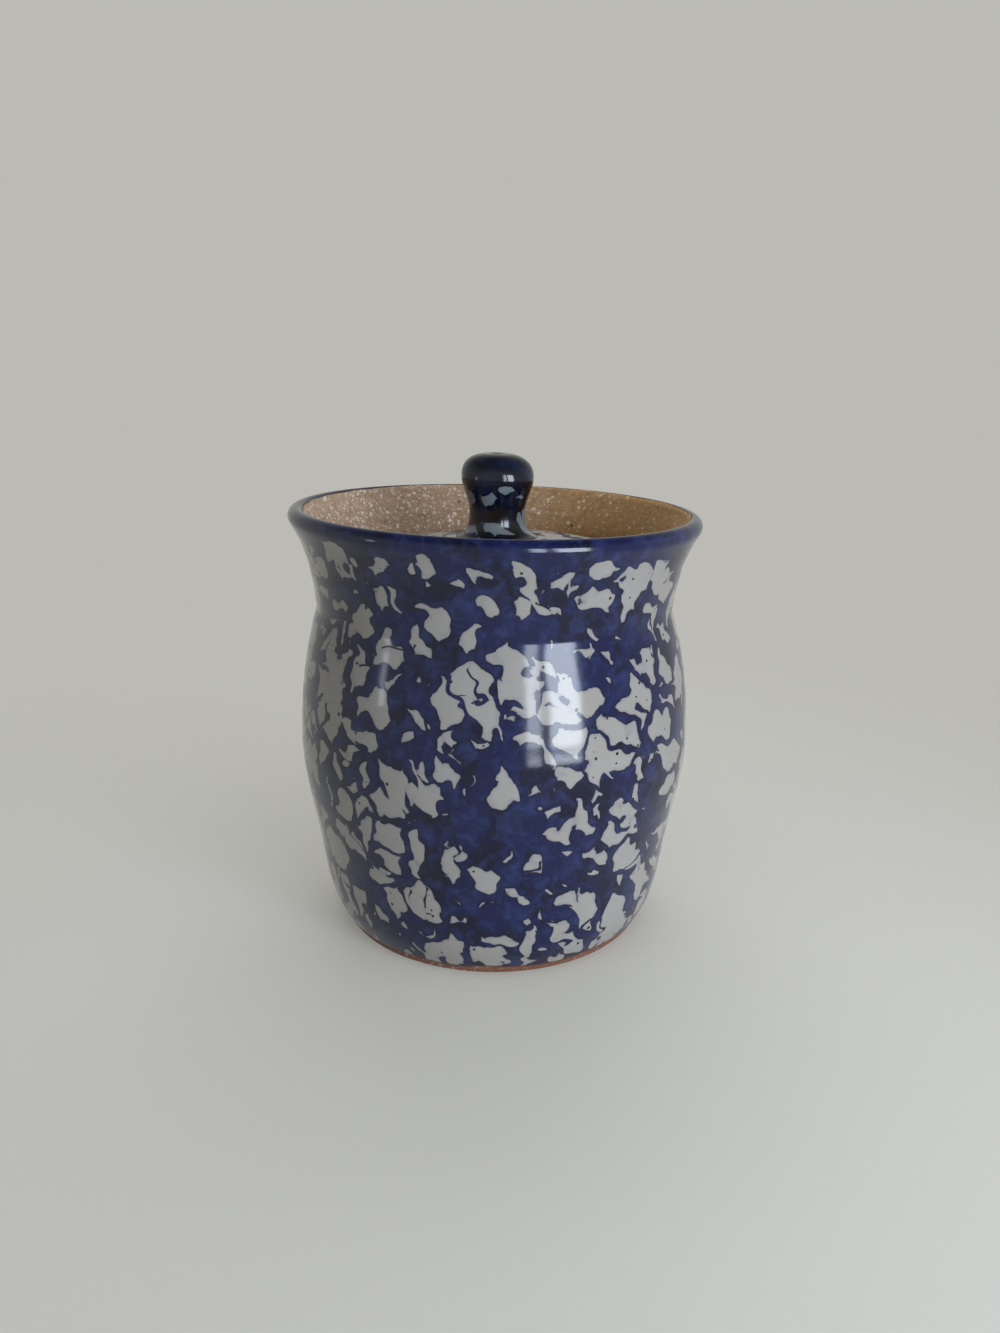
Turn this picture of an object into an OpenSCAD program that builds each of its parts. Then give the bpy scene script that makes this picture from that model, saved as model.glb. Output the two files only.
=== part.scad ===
// Lidded stoneware jar: a round-bellied thrown jar with a flared mouth, and a domed lid that drops
// onto a ledge inside the mouth and lifts off by its knob.
// Millimetres, +Z up, origin at the centre of the foot, on the surface that the jar stands on.

/* [Jar wall] */
// Height from the foot to the crest of the rim
jar_h = 114; // [106:1:130]
// Diameter of the foot
foot_d = 82; // [74:1:88]
// Lean of the wall at the foot, out per unit up
foot_lean = 0.64; // [0.3:0.02:0.9]
// Diameter of the rounded heel above the foot
heel_d = 92; // [88:0.5:96]
// Height of the heel
heel_h = 10; // [7:0.5:14]
// Lean of the wall at the heel
heel_lean = 0.28; // [0.15:0.01:0.4]
// Diameter of the lower flank
flank_d = 97.6; // [94:0.2:102]
// Height of the lower flank
flank_h = 26; // [20:1:34]
// Lean of the wall at the lower flank
flank_lean = 0.16; // [0.08:0.01:0.25]
// Diameter of the belly, the widest part below the neck
belly_d = 105.6; // [100:0.2:114]
// Height of the belly
belly_h = 53; // [44:1:60]
// Diameter at the crease between belly and neck
waist_d = 95; // [92:0.5:98]
// Lean of the shoulder where it runs into the crease
shoulder_lean = -0.32; // [-0.45:0.01:-0.15]
// Thickness of the wall, measured level
wall_t = 5; // [3.5:0.1:6]
// Thickness of the floor
floor_t = 7; // [4:0.5:9]
// Size of the curve inside where the wall turns into the floor
floor_corner = 9; // [4:0.5:12]

/* [Foot] */
// Bevel round the outer edge of the foot
foot_bevel = 0.8; // [0.3:0.1:2]
// Width of the ring that the jar stands on
foot_ring_w = 7; // [4:0.5:12]
// Depth of the turned recess inside that ring
foot_recess = 1.2; // [0.6:0.1:2.5]

/* [Mouth] */
// Height of the neck, from the crease to the crest of the rim
neck_h = 26; // [24:0.5:30]
// Diameter of the upright collar above the crease
collar_d = 97.6; // [96:0.2:100]
// Height of the collar above the crease
collar_h = 10; // [8:0.5:12]
// Lean of the collar where the flare begins
collar_lean = 0.19; // [0.05:0.01:0.35]
// Widest diameter of the flared rim
rim_d = 108.8; // [106:0.2:116]
// Lean of the flare where it meets the lip
flare_lean = 0.63; // [0.4:0.01:0.8]
// Thickness of the rounded lip
lip_t = 4.6; // [3:0.1:6]
// Depth of the lid's ledge below the crest of the rim
ledge_depth = 19.5; // [18:0.5:22]
// Diameter of the upright wall that stands round the lid
gallery_d = 88; // [85:0.2:89]
// Height of that upright wall above the ledge
gallery_h = 5; // [4:0.5:7]
// Diameter of the throat inside the ledge
throat_d = 79; // [72:0.5:82]
// Thickness of the ledge at its inner edge
ledge_t = 4; // [2.5:0.5:6]
// Rounding of the ledge's inner edge
ledge_round = 0.9; // [0.3:0.1:1.5]
// Height over which the ledge runs down into the wall below it
ledge_brace_h = 10; // [6:0.5:14]

/* [Lid] */
// Gap all round between the lid and the wall of the gallery
lid_play = 0.8; // [0.4:0.1:1.5]
// Height of the lid's edge above the ledge
lid_edge_h = 5.2; // [4:0.1:7]
// Rise of the lid's dome above its edge
lid_rise = 7; // [3:0.5:9]
// Thickness of the dome
lid_t = 5; // [4:0.1:6]
// Rounding of the lid's upper edge
lid_round = 1.4; // [0.5:0.1:2]
// Bevel of the lid's lower edge
lid_bevel = 0.6; // [0.2:0.1:1]
// Width of the flat ring that rests on the ledge
lid_ring_w = 6; // [5:0.5:9]
// Width of the slope from that ring into the hollow underside
lid_hollow_slope = 2; // [1:0.5:4]

/* [Knob] */
// Diameter of the knob's spread base
knob_base_d = 22; // [20:0.5:28]
// Height of the edge of the spread base
knob_base_edge = 0.5; // [0.3:0.1:1]
// Diameter of the knob's neck
knob_neck_d = 14.6; // [11:0.2:17]
// Height of the neck above the lid
knob_neck_h = 7.1; // [6:0.1:9]
// Diameter of the knob's head
knob_head_d = 19.4; // [17:0.2:24]
// Height of the widest part of the head above the lid
knob_head_h = 15.8; // [13:0.1:17]
// Height of the knob above the lid
knob_h = 22.1; // [20:0.1:26]
// Diameter of the shallow dimple in the crown
knob_dimple_d = 5; // [3:0.5:7]
// Depth of the dimple
knob_dimple = 0.4; // [0.1:0.1:1]

/* [Hidden] */
$fn = 96;
// Straight steps along one stretch of a curve, and round the ledge's small edge
curve_steps = 7;
ledge_steps = 4;
// Pulls on the knob's curves, as shares of each stretch: how wide and how low the base spreads,
// how soon the neck stands upright, and how square the shoulder and the crown of the head are
base_spread = 0.5;
base_spread_h = 0.15;
neck_pull = 0.55;
shoulder_pull = 0.65;
crown_pull = 0.67;
// Colours of the three pieces
jar_colour = [0.23, 0.27, 0.45];
lid_colour = [0.55, 0.56, 0.58];
knob_colour = [0.09, 0.1, 0.2];
// Heights of the crease, the collar and the ledge
waist_z = jar_h - neck_h;
collar_z = waist_z + collar_h;
ledge_z = jar_h - ledge_depth;
// Radii of the round steps in the mouth, and of the lid that drops into them
gallery_r = gallery_d / 2;
throat_r = throat_d / 2;
lid_r = gallery_r - lid_play;
// The lip is a round bead, and the flare runs into it inside and outside at the same lean
lip_r = lip_t / 2;
lip_centre = [rim_d / 2 - lip_r, jar_h - lip_r];
lip_turn = atan(flare_lean);
flare_outside = lip_centre + lip_r * [cos(lip_turn), -sin(lip_turn)];
flare_inside = lip_centre + lip_r * [-cos(lip_turn), sin(lip_turn)];
// Lines of the wall, foot to lip, as stations of [height, radius, lean]
body_line = [
    [0, foot_d / 2, foot_lean],
    [heel_h, heel_d / 2, heel_lean],
    [flank_h, flank_d / 2, flank_lean],
    [belly_h, belly_d / 2, 0],
    [waist_z, waist_d / 2, shoulder_lean]
];
neck_line = [
    [waist_z, waist_d / 2, 0],
    [collar_z, collar_d / 2, collar_lean],
    [flare_outside[1], flare_outside[0], flare_lean]
];
mouth_line = [
    [ledge_z + gallery_h, gallery_r, 0],
    [flare_inside[1], flare_inside[0], flare_lean]
];
// The ledge's underside meets the inside of the wall at this height
brace_z = ledge_z - ledge_t - ledge_brace_h;
// The floor's corner meets the inside of the wall at this height
corner_z = floor_t + floor_corner;
// The lid's dome is part of a sphere of this radius, flattened under the knob
dome_r = (lid_r * lid_r + lid_rise * lid_rise) / (2 * lid_rise);
knob_base_r = knob_base_d / 2;
knob_seat_z = dome_z(knob_base_r);

// Radius at height z on the smooth curve between stations a and b
function between(a, b, z) =
    let (h = b[0] - a[0], t = (z - a[0]) / h, s = 1 - t)
    s * s * (1 + 2 * t) * a[1] + t * t * (3 - 2 * t) * b[1] + h * s * t * (s * a[2] - t * b[2]);

// Radius of a line of stations at height z
function line_r(line, z) =
    let (spans = [for (i = [0 : len(line) - 2]) if (z <= line[i + 1][0] || i == len(line) - 2) i])
    between(line[spans[0]], line[spans[0] + 1], z);

// Points [radius, height] along one stretch of a line, from height z0 to z1, moved inwards
function stretch(line, z0, z1, inwards = 0, steps = curve_steps) =
    [for (i = [0 : steps]) let (z = z0 + (z1 - z0) * i / steps) [line_r(line, z) - inwards, z]];

// Points along every stretch of a line, from height z0 up to its last station
function whole_line(line, z0) =
    [for (i = [0 : len(line) - 2]) each stretch(line, max(z0, line[i][0]), line[i + 1][0])];

// Points of an arc about c from angle a0 to a1
function arc(c, r, a0, a1, steps) =
    [for (i = [0 : steps]) let (a = a0 + (a1 - a0) * i / steps) c + r * [cos(a), sin(a)]];

// Points of a cubic curve from a to d, pulled towards b and c
function pulled(a, b, c, d, steps = curve_steps) =
    [for (i = [0 : steps]) let (t = i / steps, s = 1 - t)
        s * s * s * a + 3 * s * s * t * b + 3 * s * t * t * c + t * t * t * d];

// Height of the top of the lid's dome at radius r
function dome_z(r) = ledge_z + lid_edge_h + lid_rise - dome_r + sqrt(dome_r * dome_r - r * r);

// Turned underside of the foot, from the axis out to the bevel
function foot_points() =
    let (ring_r = foot_d / 2 - foot_ring_w)
    [[0, foot_recess], [ring_r - foot_recess, foot_recess], [ring_r, 0], [foot_d / 2 - foot_bevel, 0]];

// Inside of the mouth: the flare, the upright gallery wall and the ledge with its rounded edge
function mouth_points() = [
    each stretch(mouth_line, flare_inside[1], ledge_z + gallery_h),
    [gallery_r, ledge_z],
    each arc([throat_r + ledge_round, ledge_z - ledge_round], ledge_round, 90, 180, ledge_steps)
];

// Inside of the jar below the ledge: the ledge's brace, the wall and the corner at the floor
function inside_points() =
    let (edge = [throat_r, ledge_z - ledge_t],
         brace = [line_r(body_line, brace_z) - wall_t, brace_z],
         corner = [line_r(body_line, corner_z) - wall_t, corner_z],
         half_brace = [0, ledge_brace_h / 2],
         round_pull = floor_corner / 2)
    [
        each pulled(edge, edge - half_brace, brace + half_brace, brace),
        each stretch(body_line, brace_z, belly_h, wall_t),
        each stretch(body_line, belly_h, flank_h, wall_t),
        each stretch(body_line, flank_h, corner_z, wall_t),
        each pulled(corner, corner - [0, round_pull], [corner[0] - round_pull, floor_t],
                    [corner[0] - floor_corner, floor_t]),
        [0, floor_t]
    ];

// The jar: foot, belly, collar and flared lip in one thrown wall, with the lid's ledge inside
module jar_body() {
    color(jar_colour)
    rotate_extrude()
    polygon([
        each foot_points(),
        each whole_line(body_line, foot_bevel),
        each whole_line(neck_line, waist_z),
        each arc(lip_centre, lip_r, -lip_turn, 180 - lip_turn, 2 * curve_steps),
        each mouth_points(),
        each inside_points()
    ]);
}

// The lid: a shallow dome, hollow underneath, with a flat ring that rests on the ledge
module lid() {
    ring_r = lid_r - lid_ring_w;
    hollow_r = ring_r - lid_hollow_slope;
    edge_z = ledge_z + lid_edge_h;
    shoulder_r = lid_r - lid_round;
    round_pull = lid_round / 2;
    color(lid_colour)
    rotate_extrude()
    polygon([
        for (i = [0 : curve_steps]) let (r = hollow_r * i / curve_steps) [r, dome_z(r) - lid_t],
        [ring_r, ledge_z],
        [lid_r - lid_bevel, ledge_z],
        [lid_r, ledge_z + lid_bevel],
        each pulled([lid_r, edge_z - lid_round], [lid_r, edge_z - round_pull],
                    [shoulder_r + round_pull, edge_z], [shoulder_r, dome_z(shoulder_r)]),
        for (i = [1 : curve_steps])
            let (r = shoulder_r + (knob_base_r - shoulder_r) * i / curve_steps) [r, dome_z(r)],
        [0, knob_seat_z]
    ]);
}

// The knob: a spread base, a narrow neck to grip under and a rounded head with a dimpled crown
module lid_knob() {
    neck_r = knob_neck_d / 2;
    head_r = knob_head_d / 2;
    crown_h = knob_h - knob_head_h;
    head_line = [[knob_neck_h, neck_r, 0], [knob_head_h, head_r, 0]];
    spread_r = neck_r + (knob_base_r - neck_r) * base_spread;
    color(knob_colour)
    translate([0, 0, knob_seat_z])
    rotate_extrude()
    polygon([
        [0, 0],
        [knob_base_r, 0],
        each pulled([knob_base_r, knob_base_edge], [spread_r, knob_neck_h * base_spread_h],
                    [neck_r, knob_neck_h * neck_pull], [neck_r, knob_neck_h]),
        each stretch(head_line, knob_neck_h, knob_head_h),
        each pulled([head_r, knob_head_h], [head_r, knob_head_h + crown_h * shoulder_pull],
                    [head_r * crown_pull, knob_h], [knob_dimple_d / 2, knob_h]),
        [0, knob_h - knob_dimple]
    ]);
}

jar_body();
lid();
lid_knob();
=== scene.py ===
"""Lidded stoneware jar: thrown shapes, sponged blue glaze over grey, bare clay, on a plain studio set."""

import logging
import math
from abc import ABC, abstractmethod
from dataclasses import dataclass, field
from enum import Enum
from functools import cached_property

import bmesh
import bpy
from mathutils import Matrix, Vector, noise


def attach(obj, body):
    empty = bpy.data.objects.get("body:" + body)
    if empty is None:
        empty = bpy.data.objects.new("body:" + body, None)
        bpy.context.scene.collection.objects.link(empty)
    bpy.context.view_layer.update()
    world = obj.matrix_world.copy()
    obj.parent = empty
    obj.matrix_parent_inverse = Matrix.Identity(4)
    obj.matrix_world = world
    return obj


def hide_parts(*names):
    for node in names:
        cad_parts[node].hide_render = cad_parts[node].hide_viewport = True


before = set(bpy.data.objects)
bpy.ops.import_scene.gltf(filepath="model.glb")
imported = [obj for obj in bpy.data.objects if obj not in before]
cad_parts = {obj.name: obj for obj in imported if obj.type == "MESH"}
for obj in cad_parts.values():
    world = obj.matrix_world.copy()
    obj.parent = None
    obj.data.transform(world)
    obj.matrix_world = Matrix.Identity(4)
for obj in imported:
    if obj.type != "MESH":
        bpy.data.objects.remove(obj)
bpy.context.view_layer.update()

LOG = logging.getLogger("lidded_jar")
MM = 0.001
PER_METRE = 1000.0
COAT = "coat_mm"
SPIN_STEPS = 128
WELD_MM = 0.002
NOISE_MIDDLE = 0.5
DAYLIGHT = "#e4efff"
# Sockets of a colour Mix node, which share their names with those of its other kinds
MIX_A, MIX_B = 6, 7
COLOUR_MIX = {"out": 2, "data_type": "RGBA"}
# Places before a coat's start and past its end, for glaze that covers the whole outline or none of it
BEFORE_ALL, PAST_ALL = -99.0, 900.0
# Steps that move and turn one pattern away from the next
MOVES = (37.0, 11.0, 23.0)
TURNS = (5.1, 3.7, 7.3)

Point = tuple[float, float]
Pair = tuple[float, float]
Triple = tuple[float, float, float]
Socket = bpy.types.NodeSocket
Feed = Socket | float | tuple[float, ...]


def linear(colour: str) -> tuple[float, float, float, float]:
    """Turn an sRGB hex colour into linear RGBA.

    Args:
        colour: The colour as "#rrggbb".

    Returns:
        Linear red, green, blue and an alpha of one.
    """
    parts = [int(colour[i:i + 2], 16) / 255 for i in (1, 3, 5)]
    r, g, b = [p / 12.92 if p <= 0.04045 else ((p + 0.055) / 1.055) ** 2.4 for p in parts]
    return r, g, b, 1.0


def ease(value: float, low: float, high: float) -> float:
    """Smooth step from 0 at low to 1 at high.

    Args:
        value: Where to read the step.
        low: Where the step starts.
        high: Where the step ends.

    Returns:
        The height of the step, from 0 to 1.
    """
    t = min(1.0, max(0.0, (value - low) / (high - low)))
    return t * t * (3 - 2 * t)


def arc(centre: Point, radius: float, start: float, end: float, steps: int) -> list[Point]:
    """Walk round part of a circle.

    Args:
        centre: The circle's centre as (radius, height).
        radius: The circle's own radius.
        start: First angle in degrees, from outwards towards up.
        end: Last angle in degrees.
        steps: Number of straight steps.

    Returns:
        Points of (radius, height), both ends included.
    """
    angles = [math.radians(start + (end - start) * i / steps) for i in range(steps + 1)]
    return [(centre[0] + radius * math.cos(a), centre[1] + radius * math.sin(a)) for a in angles]


def pulled(a: Point, b: Point, c: Point, d: Point, steps: int) -> list[Point]:
    """Walk along a cubic curve from a to d that is pulled towards b and c.

    Args:
        a: Start of the curve.
        b: First pull.
        c: Second pull.
        d: End of the curve.
        steps: Number of straight steps.

    Returns:
        Points of (radius, height), both ends included.
    """
    ends = [Vector(p) for p in (a, b, c, d)]
    found = []
    for i in range(steps + 1):
        t = i / steps
        s = 1 - t
        p = s**3 * ends[0] + 3 * s * s * t * ends[1] + 3 * s * t * t * ends[2] + t**3 * ends[3]
        found.append((p.x, p.y))
    return found


def without_repeats(points: list[Point], nearest: float = 0.02) -> list[Point]:
    """Drop each point that lies on the one before it.

    Args:
        points: Points of (radius, height) in millimetres.
        nearest: Shortest step that is kept.

    Returns:
        The points that are left, in order.
    """
    kept = points[:1]
    for point in points[1:]:
        if math.dist(point, kept[-1]) > nearest:
            kept.append(point)
    return kept


def walk_length(points: list[Point]) -> float:
    """Measure a walk along points, in their own unit."""
    return sum(math.dist(a, b) for a, b in zip(points, points[1:]))


def scattered(turn: float, size: float, stretch: float = 1.0) -> dict[str, Feed]:
    """Size a pattern's marks and set them apart from the other patterns.

    Args:
        turn: Number by which this pattern is moved and turned.
        size: Size of one mark in millimetres.
        stretch: How much longer than wide a mark is.

    Returns:
        The pattern's place, turn and size, by the names of the inputs that take them.
    """
    return {"Location": tuple(turn * move for move in MOVES),
            "Rotation": tuple(turn * angle for angle in TURNS),
            "Scale": (size * stretch, size, size)}


@dataclass(frozen=True)
class Ramp:
    """A straight rise from 0 at its start to its most at its end, level beyond both."""

    start: float
    end: float
    most: float = 1.0

    def feeds(self, value: Socket) -> dict[str, Feed]:
        """Give the ramp's numbers by the names of the inputs that take them, to read it at a value."""
        return {"Value": value, "From Min": self.start, "From Max": self.end, "To Max": self.most}


@dataclass(frozen=True)
class Station:
    """A point that a thrown wall passes through, in millimetres, with its lean out per unit up."""

    height: float
    radius: float
    lean: float = 0.0


@dataclass(frozen=True)
class ThrownLine:
    """A smooth line of a thrown wall through its stations, lowest first."""

    stations: tuple[Station, ...]

    def radius_at(self, height: float) -> float:
        """Read the line's radius.

        Args:
            height: Height in millimetres, within the stations.

        Returns:
            The radius at that height, in millimetres.
        """
        pairs = list(zip(self.stations, self.stations[1:]))
        low, high = next((p for p in pairs if height <= p[1].height), pairs[-1])
        rise = high.height - low.height
        t = (height - low.height) / rise
        s = 1 - t
        bend = rise * s * t * (s * low.lean - t * high.lean)
        return s * s * (1 + 2 * t) * low.radius + t * t * (3 - 2 * t) * high.radius + bend

    def points(self, start: float, end: float, pitch: float, inset: float = 0.0) -> list[Point]:
        """Walk along the line.

        Args:
            start: First height in millimetres.
            end: Last height in millimetres, above or below the first.
            pitch: Longest step in height.
            inset: How far the points lie inside the line.

        Returns:
            Points of (radius, height), both ends included.
        """
        count = max(1, math.ceil(abs(end - start) / pitch))
        heights = [start + (end - start) * i / count for i in range(count + 1)]
        return [(self.radius_at(h) - inset, h) for h in heights]


class NodeBoard:
    """A node tree with one call that adds a node, sets it and links it."""

    def __init__(self, tree: bpy.types.NodeTree) -> None:
        """Take over a tree and clear it."""
        self.tree = tree
        tree.nodes.clear()

    def add(self, kind: str, feeds: dict[str | int, Feed] | None = None, out: str | int = 0,
            **settings: object) -> Socket | None:
        """Add one node.

        Args:
            kind: The node's type without its ShaderNode prefix.
            feeds: What goes into each input, a socket to link or a value to set.
            out: Which output to hand back.
            **settings: The node's own settings.

        Returns:
            That output, or None for a node without outputs.
        """
        node = self.tree.nodes.new("ShaderNode" + kind)
        for key, value in settings.items():
            setattr(node, key, value)
        for key, feed in (feeds or {}).items():
            if isinstance(feed, Socket):
                self.tree.links.new(feed, node.inputs[key])
            else:
                node.inputs[key].default_value = feed
        return node.outputs[out] if len(node.outputs) else None


class SpongeLoad(Enum):
    """How much cobalt the sponge left, in millimetres by which the gaps shrink all round."""

    OPEN = 0.0
    HEAVY = 0.35


@dataclass(frozen=True)
class Gaps:
    """Gaps of one kind that a sponge leaves: its cells, each shrunk by its own amount, in millimetres."""

    turn: float
    size: float
    least: float
    most: float
    bias: float = 1.0
    stretch: float = 1.7


@dataclass(frozen=True)
class SpongePrint:
    """Cobalt dabbed on with a torn sponge, whose cells leave ragged gaps with thin bridges between them.

    Sizes are in millimetres.
    """

    load: SpongeLoad = SpongeLoad.OPEN
    sway_mm: float = 6.4
    sway_reach: float = 8.2
    gaps: tuple[Gaps, Gaps] = (Gaps(1.0, 7.6, 0.38, 2.65), Gaps(3.1, 9.8, 0.62, 4.9, 1.1))
    join_mm: float = 0.8
    tear_mm: float = 2.5
    tear_reach: float = 1.0
    vein_turn: float = 5.2
    vein_apart: float = 0.53
    vein_bend: float = 7.8
    vein_stretch: float = 1.6
    vein_half: float = 0.5
    vein_cut: float = 1.4
    vein_least: float = 0.64
    dab_turn: float = 13.7
    dab_apart: float = 0.37
    dab_mm: float = 9.0
    dab_stretch: float = 1.5
    dab_least: float = 0.46
    dab_tip: float = 1.2
    steepness: float = 3.0

    def blob(self, board: NodeBoard, place: Socket, turn: float, size: float, least: float,
             stretch: float = 1.0) -> Socket:
        """Draw soft blobs.

        Args:
            board: The node tree.
            place: Position in millimetres.
            turn: Number that turns and moves these blobs away from the others.
            size: Size of a blob in millimetres.
            least: Level of the noise at which a blob ends.
            stretch: How much longer than wide a blob is.

        Returns:
            Height over the blob's edge, near to millimetres.
        """
        moved = board.add("Mapping", {"Vector": place, **scattered(turn, size, stretch)},
                          vector_type="TEXTURE")
        soft = board.add("TexNoise", {"Vector": moved, "Scale": 1.0, "Detail": 0.0})
        steep = size * self.steepness
        return board.add("Math", {0: soft, 1: steep, 2: -least * steep}, operation="MULTIPLY_ADD")

    def overlap(self, board: NodeBoard, place: Socket) -> Socket:
        """Draw leaf shapes where two dabs cross and the cobalt lies double.

        Args:
            board: The node tree.
            place: Position in millimetres.

        Returns:
            Height over a leaf's edge, near to millimetres.
        """
        first, second = [self.blob(board, place, turn, self.dab_mm, self.dab_least, self.dab_stretch)
                         for turn in (self.dab_turn, self.dab_turn + self.dab_apart)]
        return board.add("Math", {0: first, 1: second, 2: self.dab_tip}, operation="SMOOTH_MIN")

    def veins(self, board: NodeBoard, place: Socket) -> Socket:
        """Draw thin curved strokes that cross the gaps.

        Args:
            board: The node tree.
            place: Position in millimetres.

        Returns:
            Height over a stroke's edge, near to millimetres.
        """
        line = self.blob(board, place, self.vein_turn, self.vein_bend, NOISE_MIDDLE, self.vein_stretch)
        middle = board.add("Math", {0: line}, operation="ABSOLUTE")
        thin = board.add("Math", {0: self.vein_half, 1: middle}, operation="SUBTRACT")
        cut = self.blob(board, place, self.vein_turn + self.vein_apart, self.vein_bend * self.vein_cut,
                        self.vein_least)
        return board.add("Math", {0: thin, 1: cut}, operation="MINIMUM")

    def gap(self, board: NodeBoard, place: Socket, gaps: Gaps) -> Socket:
        """Draw the gaps of one kind.

        Args:
            board: The node tree.
            place: Position in millimetres.
            gaps: Their kind.

        Returns:
            Depth inside a gap, near to millimetres.
        """
        moved = board.add("Mapping", {"Vector": place, **scattered(gaps.turn, gaps.size, gaps.stretch)},
                          vector_type="TEXTURE")
        depth = board.add("TexVoronoi", {"Vector": moved, "Scale": 1.0}, feature="DISTANCE_TO_EDGE")
        cell = board.add("TexVoronoi", {"Vector": moved, "Scale": 1.0}, out="Color")
        chance = board.add("SeparateColor", {0: cell})
        chance = board.add("Math", {0: chance, 1: gaps.bias}, operation="POWER")
        more = self.load.value
        shrunk = board.add("MapRange", {"Value": chance, "To Min": -gaps.most - more,
                                        "To Max": -gaps.least - more})
        return board.add("Math", {0: depth, 1: gaps.size, 2: shrunk}, operation="MULTIPLY_ADD")

    def cover(self, board: NodeBoard, flat: Socket) -> Socket:
        """Draw the whole print.

        Args:
            board: The node tree.
            flat: Position in millimetres.

        Returns:
            Height over the edge of the cobalt, near to millimetres, below zero in a gap.
        """
        shove = board.add("TexNoise", {"Vector": flat, "Scale": 1 / self.sway_mm, "Detail": 1.0}, out="Color")
        shove = board.add("VectorMath", {0: shove, 1: (-NOISE_MIDDLE,) * 3}, operation="ADD")
        place = board.add("VectorMath", {0: shove, 1: (self.sway_reach,) * 3, 2: flat},
                          operation="MULTIPLY_ADD")
        small, large = [self.gap(board, place, gaps) for gaps in self.gaps]
        left_open = board.add("Math", {0: small, 1: large, 2: self.join_mm}, operation="SMOOTH_MAX")
        torn = board.add("TexNoise", {"Vector": flat, "Scale": 1 / self.tear_mm, "Detail": 2.0})
        tear = board.add("Math", {0: torn, 1: -NOISE_MIDDLE}, operation="ADD")
        left_open = board.add("Math", {0: tear, 1: self.tear_reach, 2: left_open}, operation="MULTIPLY_ADD")
        shut = board.add("Math", {0: left_open, 1: -1.0}, operation="MULTIPLY")
        return board.add("Math", {0: shut, 1: self.veins(board, place)}, operation="MAXIMUM")


@dataclass(frozen=True)
class SpongedGlaze:
    """Stoneware glaze, grey where the sponge missed and cobalt blue where it touched.

    Glaze is a thin glass: clear reflections over colour that pools, darkens at the edges of the dabs and is
    freckled by iron from the clay.
    """

    sponge: SpongePrint = field(default_factory=SpongePrint)
    cobalt_deep: str = "#060b27"
    cobalt: str = "#0b153e"
    cobalt_wash: str = "#2c3a6a"
    ground: str = "#9b9a97"
    ground_warm: str = "#979087"
    iron: str = "#2a211d"
    doubled: Ramp = Ramp(-0.9, 0.9)
    water_mm: float = 4.0
    thinned: Ramp = Ramp(0.45, 0.78, 0.8)
    edge_mm: float = 0.07
    dark_edge: Ramp = Ramp(0.7, 0.15, 0.65)
    bleed: Ramp = Ramp(-0.6, 0.0, 0.22)
    warm_mm: float = 14.0
    speck_mm: float = 2.6
    speck_reach: Ramp = Ramp(0.35, 1.0, 0.19)
    wave_mm: float = 9.0
    wave_h: float = 0.05
    peel_mm: float = 1.6
    peel_h: float = 0.01

    def blue(self, board: NodeBoard, place: Socket, cover: Socket) -> Socket:
        """Colour the cobalt: deep where dabs overlap and at their edges, thin where water took it.

        Args:
            board: The node tree.
            place: Position in millimetres.
            cover: Height over the cobalt's edge in millimetres.

        Returns:
            The cobalt's colour.
        """
        layer = board.add("MapRange", self.doubled.feeds(self.sponge.overlap(board, place)))
        blue = board.add("Mix", {0: layer, MIX_A: linear(self.cobalt), MIX_B: linear(self.cobalt_deep)},
                         **COLOUR_MIX)
        water = board.add("TexNoise", {"Vector": place, "Scale": 1 / self.water_mm, "Detail": 4.0,
                                       "Roughness": 0.62, "Distortion": 0.5})
        thin = board.add("MapRange", self.thinned.feeds(water))
        blue = board.add("Mix", {0: thin, MIX_A: blue, MIX_B: linear(self.cobalt_wash)}, **COLOUR_MIX)
        edge = board.add("MapRange", self.dark_edge.feeds(cover))
        return board.add("Mix", {0: edge, MIX_A: blue, MIX_B: linear(self.cobalt_deep)}, **COLOUR_MIX)

    def grey(self, board: NodeBoard, place: Socket, cover: Socket) -> Socket:
        """Colour the ground in the gaps: uneven grey, tinged beside the cobalt and freckled with iron.

        Args:
            board: The node tree.
            place: Position in millimetres.
            cover: Height over the cobalt's edge in millimetres.

        Returns:
            The ground's colour.
        """
        warm = board.add("TexNoise", {"Vector": place, "Scale": 1 / self.warm_mm, "Detail": 3.0})
        grey = board.add("Mix", {0: warm, MIX_A: linear(self.ground), MIX_B: linear(self.ground_warm)},
                         **COLOUR_MIX)
        tinge = board.add("MapRange", self.bleed.feeds(cover))
        grey = board.add("Mix", {0: tinge, MIX_A: grey, MIX_B: linear(self.cobalt_wash)}, **COLOUR_MIX)
        speck = board.add("TexVoronoi", {"Vector": place, "Scale": 1 / self.speck_mm})
        rare = board.add("SeparateColor", {0: speck.node.outputs["Color"]})
        reach = board.add("MapRange", self.speck_reach.feeds(rare))
        spot = board.add("Math", {0: speck, 1: reach}, operation="LESS_THAN")
        return board.add("Mix", {0: spot, MIX_A: grey, MIX_B: linear(self.iron)}, **COLOUR_MIX)

    def relief(self, board: NodeBoard, place: Socket) -> Socket:
        """Raise the glaze's skin with slow waves and fine orange peel.

        Args:
            board: The node tree.
            place: Position in millimetres.

        Returns:
            The skin's height in millimetres.
        """
        wave = board.add("TexNoise", {"Vector": place, "Scale": 1 / self.wave_mm, "Detail": 1.0})
        peel = board.add("TexNoise", {"Vector": place, "Scale": 1 / self.peel_mm, "Detail": 2.0})
        slow = board.add("Math", {0: wave, 1: self.wave_h}, operation="MULTIPLY")
        return board.add("Math", {0: peel, 1: self.peel_h, 2: slow}, operation="MULTIPLY_ADD")


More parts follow.
